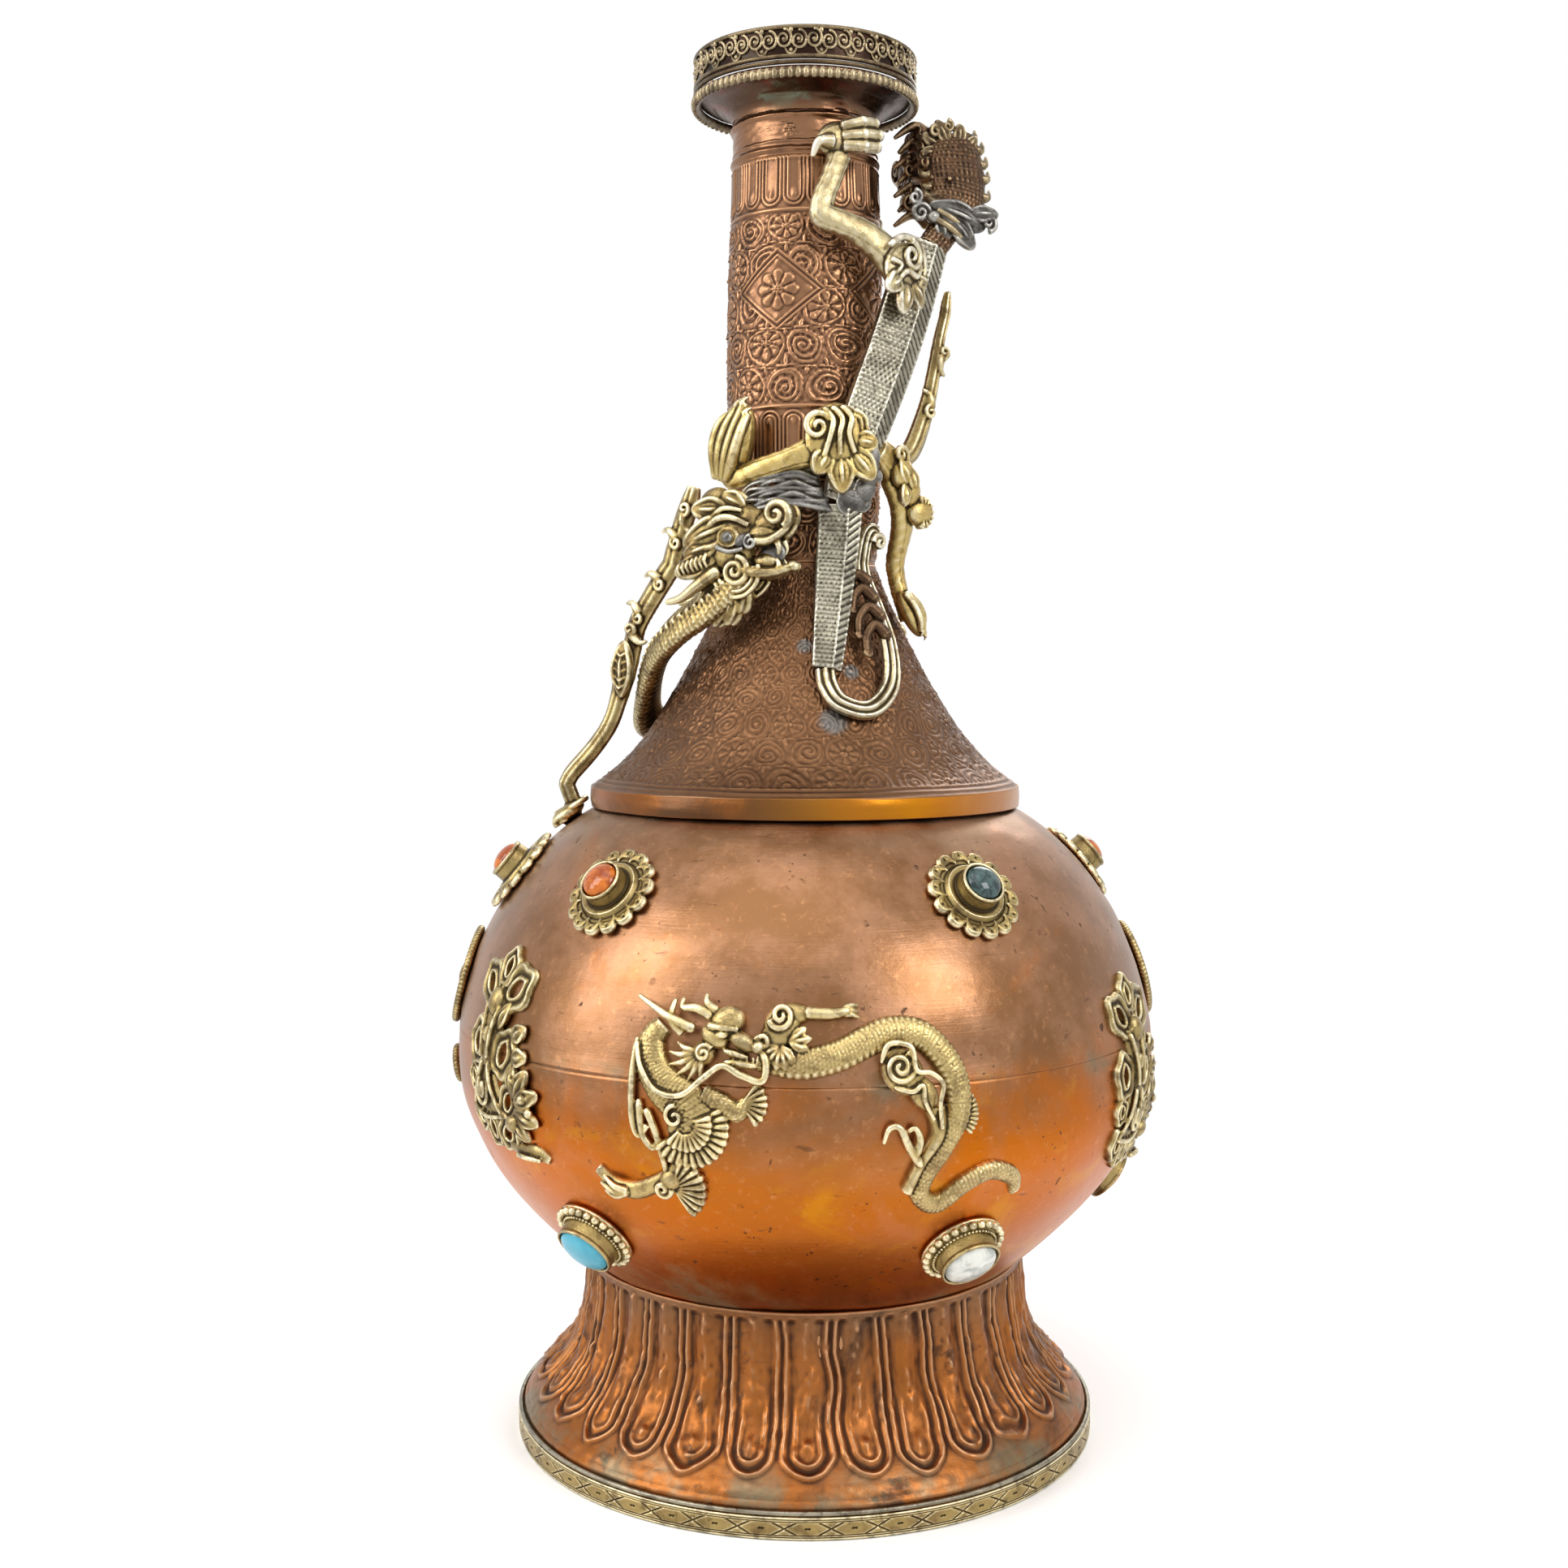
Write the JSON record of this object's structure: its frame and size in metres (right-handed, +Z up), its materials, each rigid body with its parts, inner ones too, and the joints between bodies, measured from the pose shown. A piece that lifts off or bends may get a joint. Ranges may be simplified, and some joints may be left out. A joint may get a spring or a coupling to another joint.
{
  "type": "vase",
  "caption": "Tall-necked copper vase with soldered brass dragons, set cabochon stones, scroll appliques and a fluted foot.",
  "frame": {"origin": "centre of the underside of the base plate", "axes": "+Z up along the vessel's axis, -Y towards the front dragon"},
  "size_m": [0.2001, 0.1984, 0.38],
  "materials": {
    "belly_copper": "polished copper with brown patina",
    "worked_copper": "embossed copper, dark in the recesses",
    "brass": "cast brass with dull recesses",
    "silvered_brass": "worn silvered brass",
    "carnelian": "polished cabochon",
    "moss_agate": "polished cabochon",
    "turquoise": "polished cabochon",
    "moonstone": "polished cabochon"
  },
  "bodies": {
    "root": {"belly_lower": "belly_copper", "belly_upper": "belly_copper", "collar_band": "belly_copper", "base_plate": "worked_copper", "foot_skirt": "worked_copper", "shoulder_cone": "worked_copper", "neck_tube": "worked_copper", "neck_sleeve": "worked_copper", "mouth_flange": "worked_copper", "foot_rim_band": "brass", "mouth_gallery": "brass", "mouth_wire": "brass", "mouth_bead_ring": "brass", "climbing_head": "brass", "climbing_foreleg_near": "brass", "climbing_foreleg_far": "brass", "climbing_hindleg_near": "brass", "climbing_hindleg_far": "brass", "climbing_streamer": "brass", "climbing_tail_scroll": "brass", "coiling_body": "brass", "coiling_head": "brass", "coiling_streamer": "brass", "coiling_leg": "brass", "front_dragon": "brass", "back_dragon": "brass", "scroll_emblem_1": "brass", "scroll_emblem_2": "brass", "scroll_emblem_3": "brass", "scroll_emblem_4": "brass", "rope_medallion_1": "brass", "rope_medallion_2": "brass", "small_disc": "brass", "rosette_1": "brass", "rosette_2": "brass", "rosette_3": "brass", "rosette_4": "brass", "rosette_5": "brass", "rosette_6": "brass", "bezel_1": "brass", "bezel_2": "brass", "bezel_3": "brass", "bezel_4": "brass", "bezel_5": "brass", "bezel_6": "brass", "foot_rim_wire": "silvered_brass", "climbing_body": "silvered_brass", "climbing_tail": "silvered_brass", "rosette_stone_1": "carnelian", "rosette_stone_3": "carnelian", "bezel_stone_3": "carnelian", "rosette_stone_6": "carnelian", "bezel_stone_1": "turquoise", "rosette_stone_4": "turquoise", "bezel_stone_6": "turquoise", "rosette_stone_2": "moss_agate", "bezel_stone_4": "moss_agate", "rosette_stone_5": "moss_agate", "bezel_stone_2": "moonstone", "bezel_stone_5": "moonstone"}
  },
  "joints": []
}
